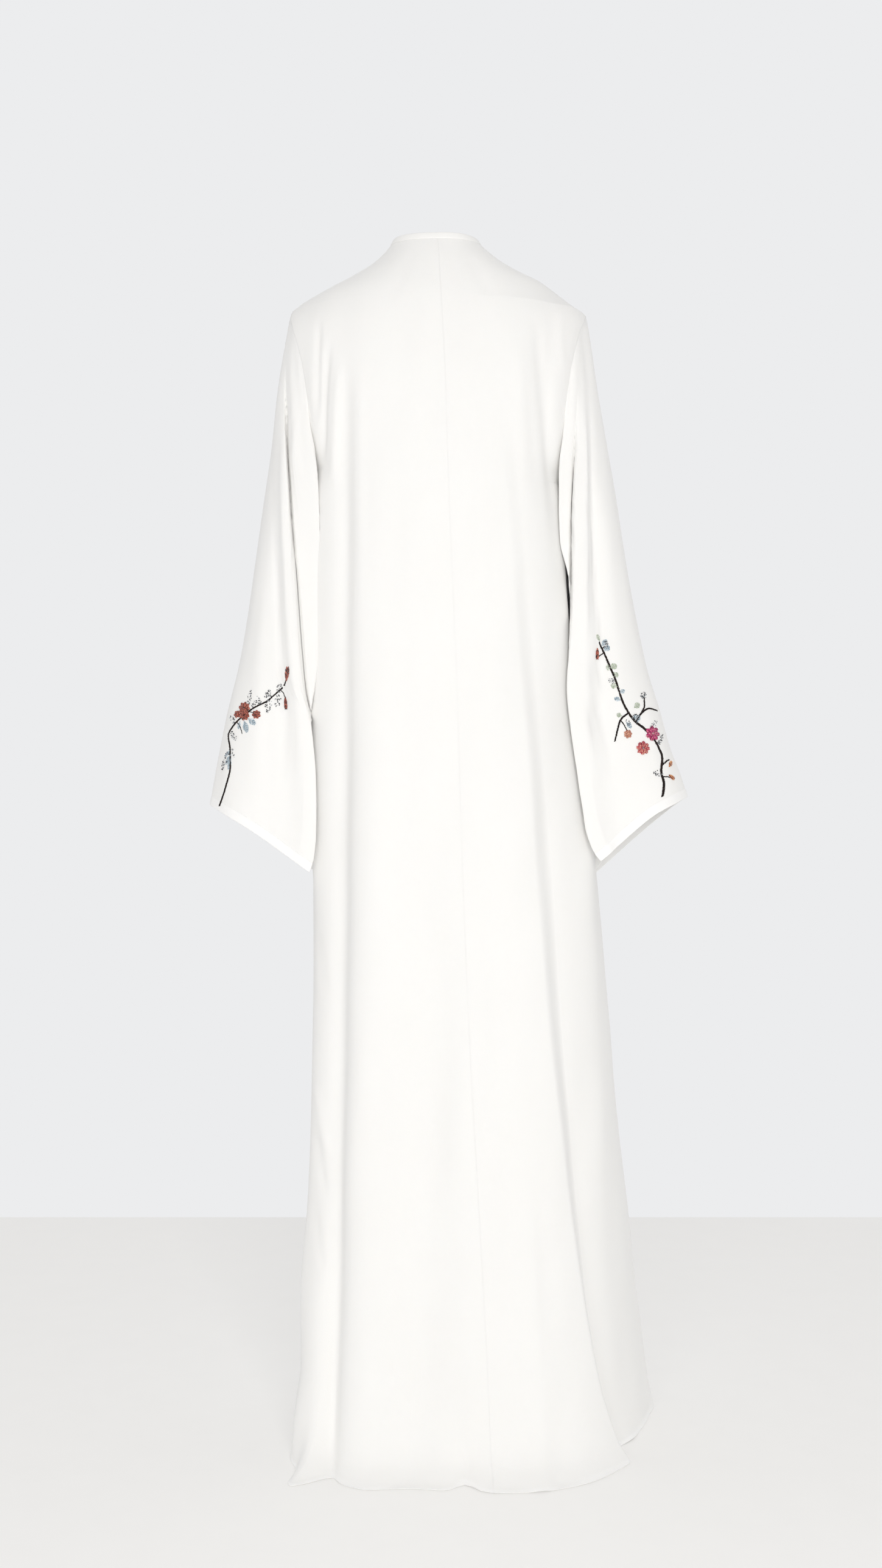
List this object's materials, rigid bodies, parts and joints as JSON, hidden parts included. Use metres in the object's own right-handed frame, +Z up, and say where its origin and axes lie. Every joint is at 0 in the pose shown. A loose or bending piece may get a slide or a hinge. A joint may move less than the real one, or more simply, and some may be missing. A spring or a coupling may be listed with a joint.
{
  "type": "abaya",
  "caption": "Long white crepe abaya with flared sleeves, a plain round neckline, a lapped open front, a trailing hem and flowering branches embroidered above the cuffs.",
  "frame": {"origin": "on the shoulder line midway between the two shoulder tips, where the wearer carries the garment, 1.4 m above the floor that the hem lies on", "axes": "+Z up along the body; the two fronts face -Y and the back faces +Y; +X is the wearer's left"},
  "size_m": [0.6002, 0.3779, 1.4884],
  "materials": {
    "crepe": "matte crepe with a faint sheen",
    "binding": "matte crepe, pressed",
    "dark_thread": "satin embroidery thread",
    "coral_sequins": "glossy sequins",
    "magenta_sequins": "glossy sequins",
    "pale_leaves": "satin thread with glass beads",
    "silver_beads": "silver lined glass"
  },
  "bodies": {
    "root": {"back_left": "crepe", "back_right": "crepe", "front_left": "crepe", "front_right": "crepe", "neck_band": "binding", "sleeve_left": "crepe", "sleeve_right": "crepe"}
  },
  "joints": []
}
